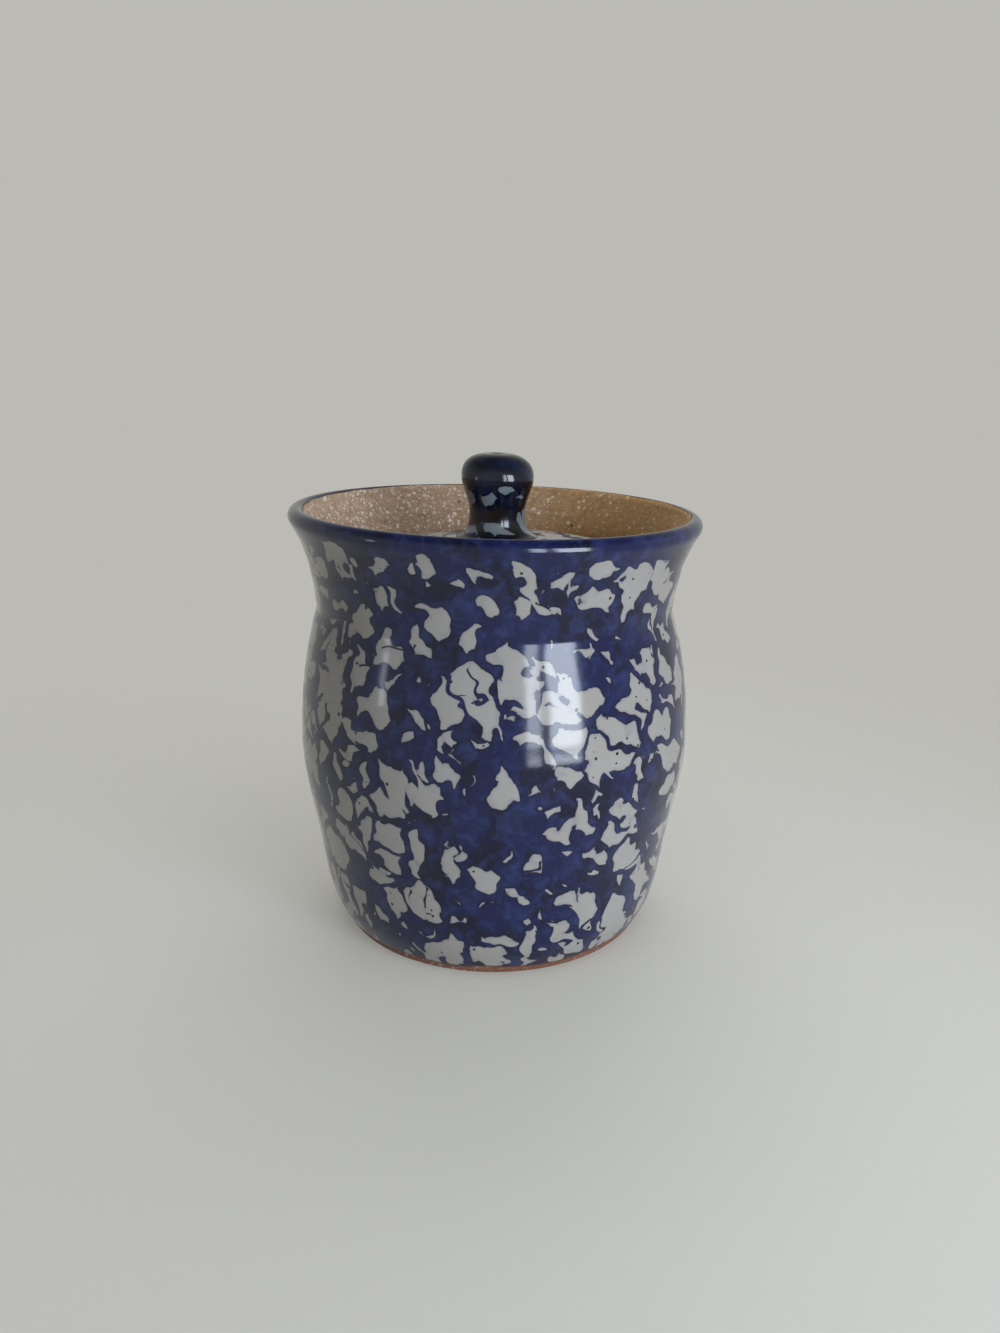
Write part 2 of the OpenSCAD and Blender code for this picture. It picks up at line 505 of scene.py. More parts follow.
@dataclass(frozen=True)
class BareClay:
    """Unglazed stoneware clay: matt and brown, with pale grit and faint lines from the potter's fingers.

    It turns from pink towards -X to golden, a little darker, towards +X. At the foot and underneath it is
    brown:
    partly toasted clay, partly painted shade where the jar meets the floor. Pairs are values for pink and for
    golden clay. A grit size is a cell in millimetres and the largest grain's share of it.
    """

    pink: str = "#bea289"
    gold: str = "#b58f61"
    # Brown of the bare foot: toasted clay, made darker as painted shade where the jar meets the floor
    toast_and_shade: str = "#80503a"
    grit: str = "#f0e6d8"
    dark: str = "#3a2e26"
    side_span_mm: float = 40.0
    ring_scale: Triple = (0.02, 0.02, 0.8)
    rings: Ramp = Ramp(0.35, 0.7, 0.2)
    mottle_mm: float = 1.7
    mottle: Ramp = Ramp(0.45, 0.75, 0.3)
    chip_mm: float = 0.5
    chip_reach: float = 1.2
    grit_sizes: tuple[Pair, ...] = ((0.6, 0.5), (0.9, 0.6), (1.5, 0.66))
    grit_missing: Pair = (0.12, 0.66)
    grit_clear: Pair = (1.0, 0.55)
    grit_faint: float = 0.45
    veil: float = 0.6
    pit_mm: float = 6.0
    pit_reach: float = 0.06
    grain_mm: float = 0.9
    grain_h: float = 0.16

    def colour(self, board: NodeBoard, place: Socket, toasted_and_shaded: Socket) -> Socket:
        """Colour the clay and its grit.

        Args:
            board: The node tree.
            place: Position in millimetres.
            toasted_and_shaded: Share of clay that is brown at the foot, partly toasted clay and partly
                painted shade.

        Returns:
            The clay's colour.
        """
        # Clay turns from pink towards -X to golden, a little darker, towards +X, over a ragged border
        across = board.add("SeparateXYZ", {0: place})
        patchy = board.add("TexNoise", {"Vector": place, "Scale": 2 / self.side_span_mm, "Detail": 2.0})
        side_place = board.add("Math", {0: patchy, 1: self.side_span_mm, 2: across}, operation="MULTIPLY_ADD")
        warm = board.add("MapRange", Ramp(0.0, self.side_span_mm).feeds(side_place))
        clay = board.add("Mix", {0: warm, MIX_A: linear(self.pink), MIX_B: linear(self.gold)}, **COLOUR_MIX)
        # Bare foot and underside turn brown: toasted clay, darkened further as painted shade where the jar
        # meets the floor
        clay = board.add("Mix", {0: toasted_and_shaded, MIX_A: clay, MIX_B: linear(self.toast_and_shade)}, **COLOUR_MIX)
        lines = board.add("Mapping", {"Vector": place, "Scale": self.ring_scale})
        ring = board.add("TexNoise", {"Vector": lines, "Scale": 1.0, "Detail": 3.0})
        uneven = board.add("TexNoise", {"Vector": place, "Scale": 1 / self.mottle_mm, "Detail": 2.0})
        for ramp, pattern in ((self.rings, ring), (self.mottle, uneven)):
            shade = board.add("MapRange", ramp.feeds(pattern))
            clay = board.add("Mix", {0: shade, MIX_A: clay, MIX_B: linear(self.dark)}, **COLOUR_MIX)
        rugged = board.add("TexNoise", {"Vector": place, "Scale": 1 / self.chip_mm}, out="Color")
        ragged = board.add("VectorMath", {0: rugged, 1: (self.chip_reach,) * 3, 2: place},
                           operation="MULTIPLY_ADD")
        missing, plain = [board.add("MapRange", {"Value": warm, "To Min": pink, "To Max": gold})
                          for pink, gold in (self.grit_missing, self.grit_clear)]
        for size, largest in self.grit_sizes:
            grit = board.add("TexVoronoi", {"Vector": ragged, "Scale": 1 / size}, distance="MANHATTAN")
            chance = board.add("SeparateColor", {0: grit.node.outputs["Color"]})
            reach = board.add("MapRange", {"Value": chance, "From Min": missing, "To Max": largest})
            grain = board.add("Math", {0: grit, 1: reach}, operation="LESS_THAN")
            clear = board.add("MapRange", {"Value": chance.node.outputs["Green"], "To Min": self.grit_faint,
                                           "To Max": plain})
            grain = board.add("Math", {0: grain, 1: clear}, operation="MULTIPLY")
            clay = board.add("Mix", {0: grain, MIX_A: clay, MIX_B: linear(self.grit)}, **COLOUR_MIX)
        # A veil of the same brown dims the grit at the foot, partly painted shade
        veil = board.add("Math", {0: toasted_and_shaded, 1: self.veil}, operation="MULTIPLY")
        clay = board.add("Mix", {0: veil, MIX_A: clay, MIX_B: linear(self.toast_and_shade)}, **COLOUR_MIX)
        pit = board.add("TexVoronoi", {"Vector": ragged, "Scale": 1 / self.pit_mm})
        hole = board.add("Math", {0: pit, 1: self.pit_reach}, operation="LESS_THAN")
        return board.add("Mix", {0: hole, MIX_A: clay, MIX_B: linear(self.dark)}, **COLOUR_MIX)

    def relief(self, board: NodeBoard, place: Socket) -> Socket:
        """Raise the clay's grain, in millimetres."""
        grain = board.add("TexNoise", {"Vector": place, "Scale": 1 / self.grain_mm, "Detail": 3.0,
                                       "Roughness": 0.6})
        return board.add("Math", {0: grain, 1: self.grain_h}, operation="MULTIPLY")


@dataclass(frozen=True)
class CoatPlan:
    """Where a piece's coats start and end, in millimetres along its outline."""

    glaze_from: float
    glaze_to: float
    liner_from: float
    band_from: float


@dataclass(frozen=True)
class GlazedStoneware:
    """A thrown piece's whole finish: sponged glaze, a solid blue band, bare clay and a cream liner inside.

    Glaze is a glass, with glass's IOR and low roughness, and stands a little proud of the matt clay. At its
    edge it is thin and burnt dark.
    """

    name: str
    coats: CoatPlan
    glaze: SpongedGlaze = field(default_factory=SpongedGlaze)
    clay: BareClay = field(default_factory=BareClay)
    shift_mm: Triple = (0.0, 0.0, 0.0)
    glaze_rough: float = 0.12
    clay_rough: float = 0.88
    ior: float = 1.5
    glaze_t: float = 0.2
    soft_mm: float = 0.1
    band_mm: float = 6.0
    burn: str = "#231b17"
    burnt: Ramp = Ramp(0.4, 0.1, 0.8)
    cream: str = "#e4dfd3"
    poured: float = 0.75

    def glazing(self, board: NodeBoard, place: Socket, coat: Socket, liner: Socket) -> Socket:
        """Colour the glazes: the sponged one, its solid band and the liner.

        Args:
            board: The node tree.
            place: Position in millimetres.
            coat: Length along the outline in millimetres.
            liner: Share of the liner.

        Returns:
            Their colour.
        """
        start, edge = self.coats.band_from, self.glaze.edge_mm
        band = Ramp(start, start + self.band_mm, self.band_mm)
        solid = board.add("MapRange", band.feeds(coat))
        cover = board.add("Math", {0: self.glaze.sponge.cover(board, place), 1: solid}, operation="ADD")
        missed = board.add("MapRange", Ramp(edge, -edge).feeds(cover), interpolation_type="SMOOTHSTEP")
        bare = board.add("Math", {0: missed, 1: liner}, operation="MAXIMUM")
        glaze = board.add("Mix", {0: bare, MIX_A: self.glaze.blue(board, place, cover),
                                  MIX_B: self.glaze.grey(board, place, cover)}, **COLOUR_MIX)
        milky = board.add("Math", {0: liner, 1: self.poured}, operation="MULTIPLY")
        return board.add("Mix", {0: milky, MIX_A: glaze, MIX_B: linear(self.cream)}, **COLOUR_MIX)

    def material(self) -> bpy.types.Material:
        """Build the material.

        Returns:
            The finished material.
        """
        made = bpy.data.materials.new(self.name)
        made.use_nodes = True
        board = NodeBoard(made.node_tree)
        there = board.add("TexCoord", out="Object")
        spot = board.add("VectorMath", {0: there, "Scale": PER_METRE}, operation="SCALE")
        place = board.add("VectorMath", {0: spot, 1: self.shift_mm}, operation="ADD")
        coat = board.add("Attribute", out="Fac", attribute_name=COAT)
        plan, soft = self.coats, self.soft_mm
        begun, ended, liner = [board.add("MapRange", Ramp(line - side, line + side).feeds(coat))
                               for line, side in ((plan.glaze_from, soft), (plan.glaze_to, -soft),
                                                  (plan.liner_from, soft))]
        outside = board.add("Math", {0: begun, 1: ended}, operation="MULTIPLY")
        glazed = board.add("Math", {0: outside, 1: liner}, operation="MAXIMUM")
        glaze = self.glazing(board, place, coat, liner)
        # Brown share at the bare foot: toasted clay, with painted shade where the jar meets the floor
        toasted_and_shaded = board.add("MapRange", {"Value": begun, "To Min": 1.0, "To Max": 0.0})
        clay = self.clay.colour(board, spot, toasted_and_shaded)
        colour = board.add("Mix", {0: glazed, MIX_A: clay, MIX_B: glaze}, **COLOUR_MIX)
        for line in (plan.glaze_from, plan.glaze_to):
            off = board.add("Math", {0: coat, 1: line}, operation="SUBTRACT")
            off = board.add("Math", {0: off}, operation="ABSOLUTE")
            near = board.add("MapRange", self.burnt.feeds(off))
            colour = board.add("Mix", {0: near, MIX_A: colour, MIX_B: linear(self.burn)}, **COLOUR_MIX)
        rough = board.add("MapRange", {"Value": glazed, "To Min": self.clay_rough,
                                       "To Max": self.glaze_rough})
        skin = board.add("Mix", {0: glazed, 2: self.clay.relief(board, place),
                                 3: self.glaze.relief(board, place)})
        height = board.add("Math", {0: glazed, 1: self.glaze_t, 2: skin}, operation="MULTIPLY_ADD")
        normal = board.add("Bump", {"Height": height, "Distance": MM})
        shader = board.add("BsdfPrincipled", {"Base Color": colour, "Roughness": rough, "IOR": self.ior,
                                              "Normal": normal})
        board.add("OutputMaterial", {"Surface": shader})
        return made


@dataclass
class ThrownPiece(ABC):
    """A piece thrown on the wheel: an outline spun about the upright axis, then moved a little by hand."""

    name: str
    node: str
    body: str
    slot: str

    @abstractmethod
    def outline(self) -> list[Point]:
        """Give the outline as points of (radius, height) in millimetres, in the coat's own order."""

    @abstractmethod
    def finish(self) -> GlazedStoneware:
        """Give the piece's finish."""

    def by_hand(self, spot: Vector, coat: float) -> Vector:
        """Move one point of the spun shape as a hand would have left it, in millimetres."""
        return spot

    def coat_at(self, spot: Vector, coat: float) -> float:
        """Let the coats' edges waver: the coat's length at one point, in millimetres."""
        return coat

    def coat_start(self) -> float:
        """Tell how far along the outline the coat's zero lies, in millimetres."""
        return 0.0

    def build(self) -> bpy.types.Object:
        """Spin the outline into a mesh and seat it on its body.

        Returns:
            The new piece.
        """
        points = without_repeats(self.outline())
        mesh = bmesh.new()
        coat_layer = mesh.verts.layers.float.new(COAT)
        line = [mesh.verts.new((radius, 0.0, height)) for radius, height in points]
        length = -self.coat_start()
        for i, vert in enumerate(line):
            length += math.dist(points[i], points[max(0, i - 1)])
            vert[coat_layer] = length
        edges = [mesh.edges.new(pair) for pair in zip(line, line[1:])]
        bmesh.ops.spin(mesh, geom=[*line, *edges], cent=(0, 0, 0), axis=(0, 0, 1), angle=math.tau,
                       steps=SPIN_STEPS, use_merge=True)
        bmesh.ops.remove_doubles(mesh, verts=mesh.verts[:], dist=WELD_MM)
        bmesh.ops.recalc_face_normals(mesh, faces=mesh.faces[:])
        for vert in mesh.verts:
            coat = vert[coat_layer]
            vert[coat_layer] = self.coat_at(vert.co, coat)
            vert.co = self.by_hand(vert.co.copy(), coat) * MM
        for face in mesh.faces:
            face.smooth = True
        data = bpy.data.meshes.new(self.name)
        mesh.to_mesh(data)
        mesh.free()
        piece = bpy.data.objects.new(self.name, data)
        bpy.context.scene.collection.objects.link(piece)
        smooth = piece.modifiers.new("smooth", "SUBSURF")
        smooth.levels = smooth.render_levels = 1
        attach(piece, self.body)
        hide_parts(self.node)
        return piece

    def dress(self, piece: bpy.types.Object) -> None:
        """Give the built piece its finish."""
        piece.data.materials.append(self.finish().material())


@dataclass
class Jar(ThrownPiece):
    """The thrown jar: foot, belly, collar, flared lip, and the ledge inside that carries the lid.

    Lengths are in millimetres. Close loops beside a corner keep it crisp when the mesh is smoothed.
    """

    height: float = 114.0
    rim_r: float = 54.1
    foot_r: float = 41.0
    foot_lean: float = 0.64
    foot_bevel: float = 0.8
    foot_ring_w: float = 7.0
    foot_recess: float = 1.2
    heel: Station = Station(10.0, 46.0, 0.28)
    flank: Station = Station(26.0, 48.8, 0.16)
    belly: Station = Station(53.0, 52.8)
    waist: Station = Station(88.0, 47.5, -0.32)
    collar: Station = Station(98.0, 48.8, 0.19)
    lip_t: float = 4.6
    flare_lean: float = 0.63
    ledge_z: float = 94.5
    gallery_r: float = 44.0
    gallery_h: float = 5.0
    throat_r: float = 39.5
    ledge_t: float = 4.0
    ledge_round: float = 0.9
    brace_h: float = 10.0
    wall_t: float = 5.0
    floor_t: float = 7.0
    floor_corner: float = 9.0
    foot_fine: Pair = (6.0, 0.8)
    wall_pitch: float = 2.2
    neck_pitch: float = 1.6
    mouth_pitch: float = 1.3
    inside_pitch: float = 3.0
    gallery_corner: tuple[Point, ...] = ((0.0, 2.5), (0.0, 0.5), (-0.15, 0.12), (-0.5, 0.0), (-2.0, 0.0))
    floor_loops: tuple[float, ...] = (20.0, 8.0, 0.0)
    recess_loops: tuple[float, ...] = (0.0, 10.0, 24.0)
    foot_loops: tuple[Point, ...] = ((-0.1, 0.1), (0.5, 0.0), (3.0, 0.0))
    rim_tilt: float = 0.0204
    tilt_from: float = 70.0
    ripple: float = 0.07
    ripple_pitch: float = 6.4
    ripple_slant: float = 0.8
    swell: float = 0.22
    swell_mm: float = 38.0
    uneven_from: Pair = (2.0, 12.0)
    uneven_to: Pair = (106.0, 111.0)
    glaze_wavers: tuple[Pair, ...] = ((0.6, 3.1), (0.35, 9.0))
    foot_waver: Pair = (1.3, 2.3)
    foot_apart: Triple = (5.0, 0.0, 0.0)
    foot_fade: Pair = (6.0, 14.0)
    lip_drift: Pair = (0.45, 0.8)
    lip_from: Pair = (100.0, 115.0)
    bare_foot: float = 4.3
    glaze_over: float = 1.2
    liner_below: float = 2.0
    band_h: float = 9.0

    def lip(self) -> tuple[Point, float, float]:
        """Place the lip's bead.

        Returns:
            The bead's centre, its radius and the angle at which the flare meets it.
        """
        bead = self.lip_t / 2
        return (self.rim_r - bead, self.height - bead), bead, math.degrees(math.atan(self.flare_lean))

    def body_line(self) -> ThrownLine:
        """Give the outside line from the foot to the crease."""
        foot = Station(0.0, self.foot_r, self.foot_lean)
        return ThrownLine((foot, self.heel, self.flank, self.belly, self.waist))

    def outside(self) -> list[Point]:
        """Walk up the outside, from the foot's edge to the crest of the lip.

        Returns:
            Points of (radius, height).
        """
        centre, bead, turn = self.lip()
        flare = arc(centre, bead, -turn, 90, 7)
        crease_z = self.waist.height
        neck = ThrownLine((Station(crease_z, self.waist.radius), self.collar,
                           Station(flare[0][1], flare[0][0], self.flare_lean)))
        fine_z, fine_pitch = self.foot_fine
        return [(self.foot_r - self.foot_bevel, 0.0),
                *self.body_line().points(self.foot_bevel, fine_z, fine_pitch),
                *self.body_line().points(fine_z, crease_z, self.wall_pitch),
                *neck.points(crease_z, flare[0][1], self.neck_pitch), *flare]

    def inside(self) -> list[Point]:
        """Walk down the inside, from the crest of the lip to the middle of the floor.

        Returns:
            Points of (radius, height).
        """
        centre, bead, turn = self.lip()
        lip = arc(centre, bead, 90, 180 - turn, 4)
        gallery_top = self.ledge_z + self.gallery_h
        mouth = ThrownLine((Station(gallery_top, self.gallery_r),
                            Station(lip[-1][1], lip[-1][0], self.flare_lean)))
        edge = (self.throat_r, self.ledge_z - self.ledge_t)
        brace_z = edge[1] - self.brace_h
        corner_z = self.floor_t + self.floor_corner
        wall = self.body_line().points(brace_z, corner_z, self.inside_pitch, self.wall_t)
        half = self.brace_h / 2
        pull = self.floor_corner / 2
        round_centre = (self.throat_r + self.ledge_round, self.ledge_z - self.ledge_round)
        return [*lip, *mouth.points(lip[-1][1], gallery_top, self.mouth_pitch),
                *[(self.gallery_r + out, self.ledge_z + up) for out, up in self.gallery_corner],
                *arc(round_centre, self.ledge_round, 90, 180, 4),
                *pulled(edge, (edge[0], edge[1] - half), (wall[0][0], brace_z + half), wall[0], 6), *wall,
                *pulled(wall[-1], (wall[-1][0], corner_z - pull), (wall[-1][0] - pull, self.floor_t),
                        (wall[-1][0] - self.floor_corner, self.floor_t), 7),
                *[(radius, self.floor_t) for radius in self.floor_loops]]

    def underside(self) -> list[Point]:
        """Walk out along the turned underside, from the middle to the foot's edge.

        Returns:
            Points of (radius, height).
        """
        ring_r = self.foot_r - self.foot_ring_w
        recess_r = ring_r - self.foot_recess
        return [*[(radius, self.foot_recess) for radius in self.recess_loops],
                (recess_r - 0.6, self.foot_recess), (recess_r, self.foot_recess - 0.1),
                *[(ring_r + out, up) for out, up in self.foot_loops],
                (self.foot_r - self.foot_bevel - 0.5, 0.0)]

    def outline(self) -> list[Point]:
        """Join underside, outside and inside into one outline."""
        return [*self.underside(), *self.outside(), *self.inside()]

    def coat_start(self) -> float:
        """Count the coat from the foot's outer edge."""
        return walk_length([*self.underside(), *self.outside()[:1]])

    @cached_property
    def crest_coat(self) -> float:
        """Tell how far up the coat the crest of the lip lies, in millimetres."""
        return walk_length(self.outside())

    def throat_coat(self) -> float:
        """Tell how far along the coat the ledge's inner edge lies, in millimetres."""
        inside = self.inside()
        edge = next(i for i, p in enumerate(inside) if p[0] <= self.throat_r + 0.01)
        return self.crest_coat + walk_length(inside[:edge + 1])

    def coat_at(self, spot: Vector, coat: float) -> float:
        """Let the glaze lines waver, most at the foot, and end the lip's further in on the left and in front.

        Args:
            spot: The point in millimetres.
            coat: Its true length along the coat.

        Returns:
            The length along the coat that the finish reads there.
        """
        turn = Vector((spot.x, spot.y, 0)).normalized()
        waver = sum(reach * noise.noise(turn * pace) for reach, pace in self.glaze_wavers)
        reach, pace = self.foot_waver
        low = 1 - ease(coat, *self.foot_fade)
        waver += reach * noise.noise(turn * pace + Vector(self.foot_apart)) * low
        right, back = self.lip_drift
        return coat + waver + (right * turn.x + back * turn.y) * ease(coat, *self.lip_from)

    def by_hand(self, spot: Vector, coat: float) -> Vector:
        """Tilt the rim a little and leave faint ripples, but keep the foot and the lid's ledge true.

        Args:
            spot: The point in millimetres.
            coat: Its length along the coat.

        Returns:
            The moved point.
        """
        inner = coat > self.crest_coat
        lift = ease(spot.z, self.ledge_z + self.gallery_h if inner else self.tilt_from, self.height)
        spot.z -= self.rim_tilt * spot.x * lift
        if not inner and coat > 0:
            out = Vector((spot.x, spot.y, 0)).normalized()
            slant = self.ripple_slant * math.sin(math.atan2(spot.y, spot.x))
            ripple = self.ripple * math.sin(spot.z * math.tau / self.ripple_pitch + slant)
            swell = self.swell * noise.noise(spot / self.swell_mm)
            within = ease(spot.z, *self.uneven_from) * (1 - ease(spot.z, *self.uneven_to))
            spot += out * (ripple + swell) * within
        return spot

    def finish(self) -> GlazedStoneware:
        """Glaze the outside and over the lip, leave foot and mouth bare, and line the inside."""
        coats = CoatPlan(self.bare_foot, self.crest_coat + self.glaze_over,
                         self.throat_coat() + self.liner_below, self.crest_coat - self.band_h)
        return GlazedStoneware("sponged_stoneware_jar", coats, shift_mm=(82.0, 74.0, 286.0))


@dataclass
class Lid(ThrownPiece):
    """The domed inset lid, hollow underneath, with a flat ring that rests on the ledge, in millimetres."""

    radius: float = 43.2
    seat_z: float = 94.5
    edge_h: float = 5.2
    rise: float = 7.0
    thick: float = 5.0
    edge_round: float = 1.4
    bevel: float = 0.6
    ring_w: float = 6.0
    hollow_slope: float = 2.0
    top_loops: tuple[float, ...] = (0.0, 4.0, 8.0, 11.0, 14.0, 18.0, 22.0, 26.0, 30.0, 34.0, 37.0, 39.5)
    under_loops: tuple[float, ...] = (31.0, 26.0, 20.0, 14.0, 8.0, 4.0, 0.0)
    askew: float = 0.012
    bare_edge: float = 1.0
    bare_w: float = 14.0

    def dome_z(self, radius: float) -> float:
        """Tell the height of the dome's top at a radius, in millimetres."""
        ball = (self.radius**2 + self.rise**2) / (2 * self.rise)
        return self.seat_z + self.edge_h + self.rise - ball + math.sqrt(ball**2 - radius**2)

    def outline(self) -> list[Point]:
        """Walk from the top's middle out to the edge, round it and back under to the middle.

        Returns:
            Points of (radius, height).
        """
        shoulder = self.radius - self.edge_round
        edge_z = self.seat_z + self.edge_h
        pull = self.edge_round / 2
        ring_r = self.radius - self.ring_w
        top = [(r, self.dome_z(r)) for r in (*self.top_loops, shoulder)]
        under = [(r, self.dome_z(r) - self.thick) for r in (ring_r - self.hollow_slope, *self.under_loops)]
        return [*top, *pulled(top[-1], (shoulder + pull, edge_z), (self.radius, edge_z - pull),
                              (self.radius, edge_z - self.edge_round), 5),
                (self.radius, self.seat_z + 1.6), (self.radius, self.seat_z + self.bevel),
                (self.radius - self.bevel, self.seat_z), (self.radius - 1.4, self.seat_z),
                (ring_r + 0.6, self.seat_z), (ring_r - 0.1, self.seat_z + 0.1), *under]

    def by_hand(self, spot: Vector, coat: float) -> Vector:
        """Leave the dome a little higher on the right, and keep the seat true."""
        spot.z += self.askew * spot.x * ease(spot.z, self.seat_z + 2, self.seat_z + self.edge_h)
        return spot

    def finish(self) -> GlazedStoneware:
        """Give the top a satin sponged glaze, leave edge and seat bare, and line the hollow."""
        edge = self.radius - self.edge_round
        coats = CoatPlan(BEFORE_ALL, edge - self.bare_edge, edge + self.bare_w, PAST_ALL)
        glaze = SpongedGlaze(ground="#a9a8a4", ground_warm="#a59e94")
        return GlazedStoneware("sponged_stoneware_lid", coats, glaze, shift_mm=(160.0, -339.0, -348.0),
                               glaze_rough=0.42)


@dataclass
class Knob(ThrownPiece):
    """The knob, thrown on the lid: a spread base, a narrow neck and a rounded head, in millimetres."""

    seat_z: float = 106.26
    top_z: float = 128.0
    base_r: float = 11.0
    base_edge: float = 0.3
    neck_r: float = 7.3
    neck_h: float = 7.1
    head_r: float = 9.7
    head_h: float = 15.8
    head_pitch: float = 1.2
    sunk: float = 0.4
    dimple_r: float = 2.5
    dimple: float = 0.4
    base_pull: Pair = (0.25, 0.1)
    neck_pull: float = 0.36
    crown_pull: Pair = (0.67, 0.65)
    off_centre: float = 0.4
    lean: float = 0.03
    dent: float = 0.035
    dent_mm: float = 9.0
    band_from: float = 27.0

    def outline(self) -> list[Point]:
        """Walk out under the base, up its edge and over the head to the crown's middle.

        Returns:
            Points of (radius, height).
        """
        z, top = self.seat_z, self.top_z
        neck_z, head_z = z + self.neck_h, z + self.head_h
        crown = top - z - self.head_h
        out, up = self.base_pull
        spread = (self.base_r - self.neck_r) * out
        base = pulled((self.base_r, z + self.base_edge), (self.neck_r + spread, z + self.neck_h * up),
                      (self.neck_r, z + self.neck_h * self.neck_pull), (self.neck_r, neck_z), 9)
        head = ThrownLine((Station(neck_z, self.neck_r), Station(head_z, self.head_r)))
        out, up = self.crown_pull
        return [(0.0, z - self.sunk), (6.0, z - self.sunk), (self.base_r - 0.1, z - self.sunk), *base,
                *head.points(neck_z, head_z, self.head_pitch),
                *pulled((self.head_r, head_z), (self.head_r, head_z + crown * up),
                        (self.head_r * out, top), (self.dimple_r, top), 8),
                (1.2, top - self.dimple * 0.8), (0.0, top - self.dimple)]

    def by_hand(self, spot: Vector, coat: float) -> Vector:
        """Lean and dent the head a little, as fingers left it.

        Args:
            spot: The point in millimetres.
            coat: Its length along the coat, not used.

        Returns:
            The moved point.
        """
        up = ease(spot.z, self.seat_z + 3, self.seat_z + self.head_h)
        spot.x += self.off_centre
        spot.z -= self.lean * spot.x * up
        out = Vector((spot.x, spot.y, 0))
        spot += out * self.dent * up * noise.noise(spot / self.dent_mm)
        return spot

    def finish(self) -> GlazedStoneware:
        """Give the knob its heavy blue-black glaze."""
        coats = CoatPlan(BEFORE_ALL, PAST_ALL, PAST_ALL, self.band_from)
        glaze = SpongedGlaze(SpongePrint(SpongeLoad.HEAVY), cobalt_deep="#04060a", cobalt="#090f20",
                             cobalt_wash="#18284c", ground="#84919b", ground_warm="#7b858c")
        return GlazedStoneware("sponged_stoneware_knob", coats, glaze, shift_mm=(276.0, -79.0, 186.0))


@dataclass(frozen=True)
class SoftLamp:
    """A soft rectangular lamp that faces the jar, in metres, degrees to the right of the camera and watts."""

    name: str
    azimuth: float
    distance: float
    height: float
    size: Pair
    watts: float
    colour: str = "#ffffff"
    mirrored: bool = True
    aim_z: float = 0.07

    def hang(self) -> None:
        """Hang the lamp. One that isn't mirrored doesn't show in glossy surfaces."""
        data = bpy.data.lights.new(self.name, "AREA")
        data.shape = "RECTANGLE"
        data.size, data.size_y = self.size
        data.energy = self.watts
        data.color = linear(self.colour)[:3]
        lamp = bpy.data.objects.new(self.name, data)
        lamp.visible_glossy = self.mirrored
        a = math.radians(self.azimuth)
        lamp.location = (math.sin(a) * self.distance, -math.cos(a) * self.distance, self.height)
        aim = Vector((0, 0, self.aim_z)) - lamp.location
        lamp.rotation_euler = aim.to_track_quat("-Z", "Y").to_euler()
        bpy.context.scene.collection.objects.link(lamp)


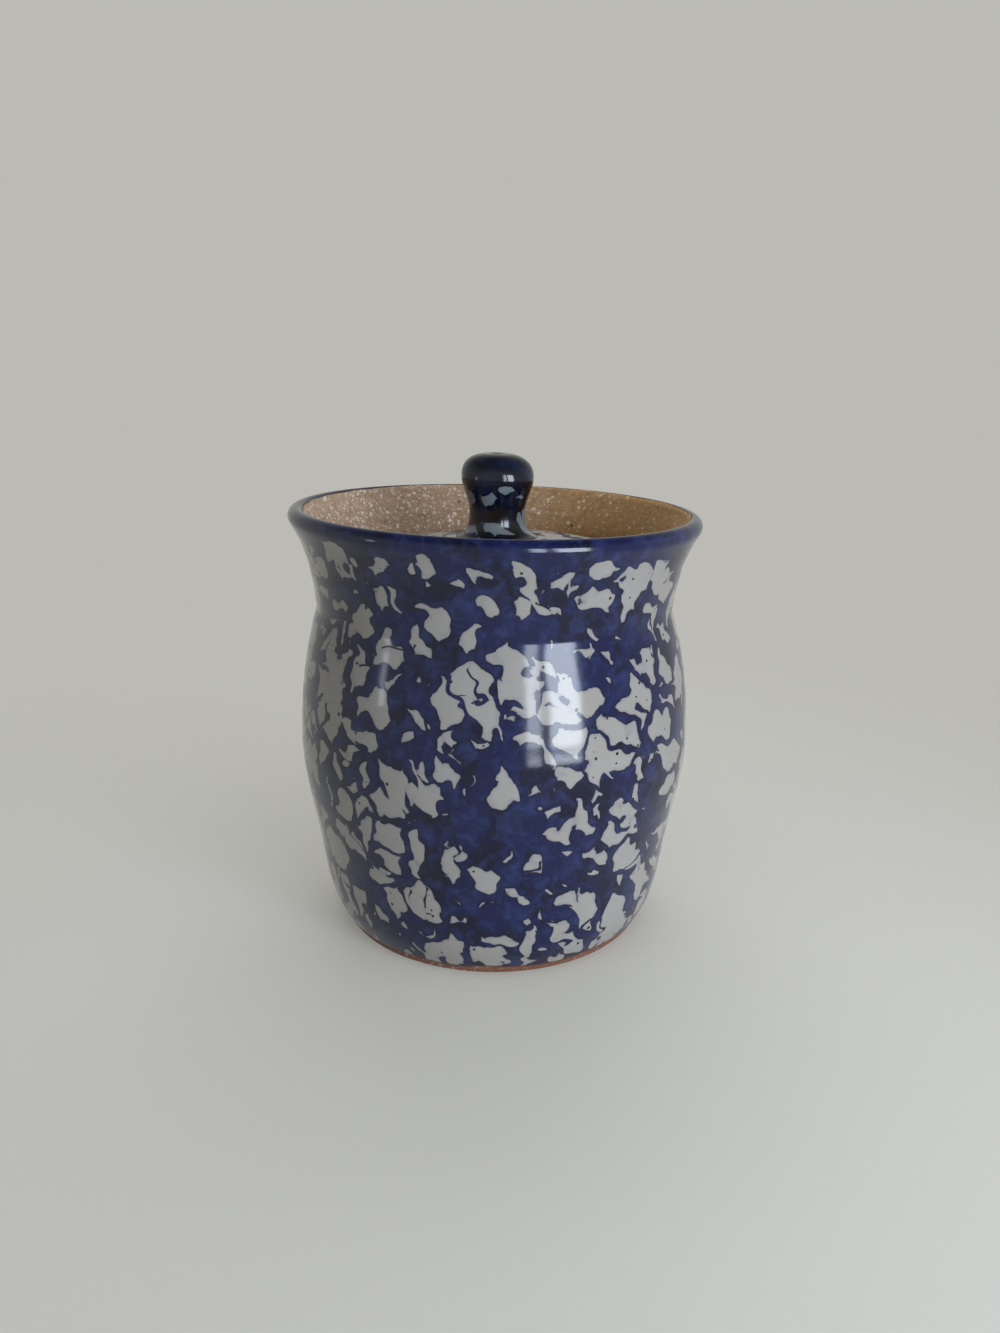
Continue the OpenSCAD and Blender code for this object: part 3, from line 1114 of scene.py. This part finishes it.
@dataclass
class Studio:
    """Plain pale floor and backdrop, soft light and the camera at the photo's angle.

    The lamps are a window-like key of two panes, a weak side strip, and soft light from above and behind.
    """

    camera_mm: Triple = (1.5, -284.8, 152.2)
    pitch_deg: float = 16.06
    roll_deg: float = 0.505
    lens_mm: float = 29.11
    sensor_mm: float = 36.0
    near_m: float = 0.01
    pale: str = "#bbbab4"
    paper: str = "#dcdcd6"
    floor_r: float = 0.4
    floor_sides: int = 96
    fade: Pair = (0.07, 0.38)
    floor_lift: float = 0.4
    room_light: float = 0.27
    ceiling: float = 0.25
    ceiling_fade: Pair = (0.3, 0.85)
    lamps: tuple[SoftLamp, ...] = (
        SoftLamp("key_left_pane", 21.4, 0.429, 0.113, (0.055, 0.257), 0.4, DAYLIGHT),
        SoftLamp("key_right_pane", 38.3, 0.422, 0.113, (0.13, 0.257), 1.3, DAYLIGHT),
        SoftLamp("side_strip", -64.0, 0.5, 0.11, (0.03, 0.12), 0.05, DAYLIGHT),
        SoftLamp("top", 30.0, 0.25, 0.9, (0.9, 0.9), 2.6, mirrored=False),
        SoftLamp("back_fill", 180.0, 0.6, 0.6, (0.8, 0.8), 3.6, mirrored=False))

    def shown(self, board: NodeBoard) -> Socket:
        """Tell rays that show the set from those that light it.

        Args:
            board: The node tree.

        Returns:
            One for a ray from the camera or from a glossy or clear surface, otherwise zero.
        """
        seen = board.add("LightPath", out="Is Camera Ray")
        paths = seen.node.outputs
        for way in ("Is Glossy Ray", "Is Transmission Ray"):
            seen = board.add("Math", {0: seen, 1: paths[way]}, operation="MAXIMUM")
        return seen

    def floor(self) -> None:
        """Lay a pale round floor that fades into the backdrop and is lifted towards its level."""
        mesh = bmesh.new()
        bmesh.ops.create_circle(mesh, cap_ends=True, segments=self.floor_sides, radius=self.floor_r)
        data = bpy.data.meshes.new("studio_floor")
        mesh.to_mesh(data)
        mesh.free()
        floor = bpy.data.objects.new("studio_floor", data)
        bpy.context.scene.collection.objects.link(floor)
        # Matt paper has no gloss, so the floor shows the jar's soft shadow and no reflection
        paper = bpy.data.materials.new("matt_paper")
        paper.use_nodes = True
        board = NodeBoard(paper.node_tree)
        there = board.add("TexCoord", out="Object")
        away = board.add("VectorMath", {0: there}, out="Value", operation="LENGTH")
        fade = board.add("MapRange", Ramp(*self.fade).feeds(away), interpolation_type="SMOOTHERSTEP")
        matt = board.add("BsdfDiffuse", {"Color": linear(self.paper)})
        level = board.add("Emission", {"Color": linear(self.pale)})
        shown = board.add("Math", {0: self.shown(board), 1: self.floor_lift}, operation="MULTIPLY")
        lifted = board.add("MixShader", {0: shown, 1: matt, 2: level})
        clear = board.add("BsdfTransparent")
        board.add("OutputMaterial", {"Surface": board.add("MixShader", {0: fade, 1: lifted, 2: clear})})
        data.materials.append(paper)

    def light(self) -> None:
        """Hang the lamps and set the room, whose backdrop darkens overhead in reflections."""
        for lamp in self.lamps:
            lamp.hang()
        world = bpy.data.worlds.new("room")
        world.use_nodes = True
        board = NodeBoard(world.node_tree)
        up = board.add("SeparateXYZ", {0: board.add("TexCoord", out="Generated")}, out="Z")
        low, high = self.ceiling_fade
        backdrop = board.add("MapRange", {"Value": up, "From Min": low, "From Max": high, "To Min": 1.0,
                                          "To Max": self.ceiling})
        strength = board.add("MapRange", {"Value": self.shown(board), "To Min": self.room_light,
                                          "To Max": backdrop})
        sky = board.add("Background", {"Color": linear(self.pale), "Strength": strength})
        board.add("OutputWorld", {"Surface": sky})
        bpy.context.scene.world = world

    def camera(self) -> None:
        """Stand the camera where the photo was taken from."""
        data = bpy.data.cameras.new("camera")
        data.lens = self.lens_mm
        data.sensor_width = self.sensor_mm
        data.clip_start = self.near_m
        camera = bpy.data.objects.new("camera", data)
        bpy.context.scene.collection.objects.link(camera)
        stand = Matrix.Translation(Vector(self.camera_mm) * MM)
        tip = Matrix.Rotation(math.radians(90 - self.pitch_deg), 4, "X")
        camera.matrix_world = stand @ tip @ Matrix.Rotation(math.radians(self.roll_deg), 4, "Z")
        bpy.context.scene.camera = camera


def main() -> None:
    """Build the pieces, dress them and set the studio."""
    logging.basicConfig(level=logging.INFO, format="%(message)s")
    for thrown in (Jar("glazed_jar", "jar_body", "jar", "jar_glaze"),
                   Lid("glazed_lid", "lid", "lid_with_knob", "lid_glaze"),
                   Knob("glazed_knob", "lid_knob", "lid_with_knob", "knob_glaze")):
        piece = thrown.build()
        thrown.dress(piece)
        LOG.info("%s: %d faces before smoothing", piece.name, len(piece.data.polygons))
    studio = Studio()
    studio.floor()
    studio.light()
    studio.camera()
    bpy.context.scene.view_settings.view_transform = "Standard"


if __name__ == "__main__":
    main()
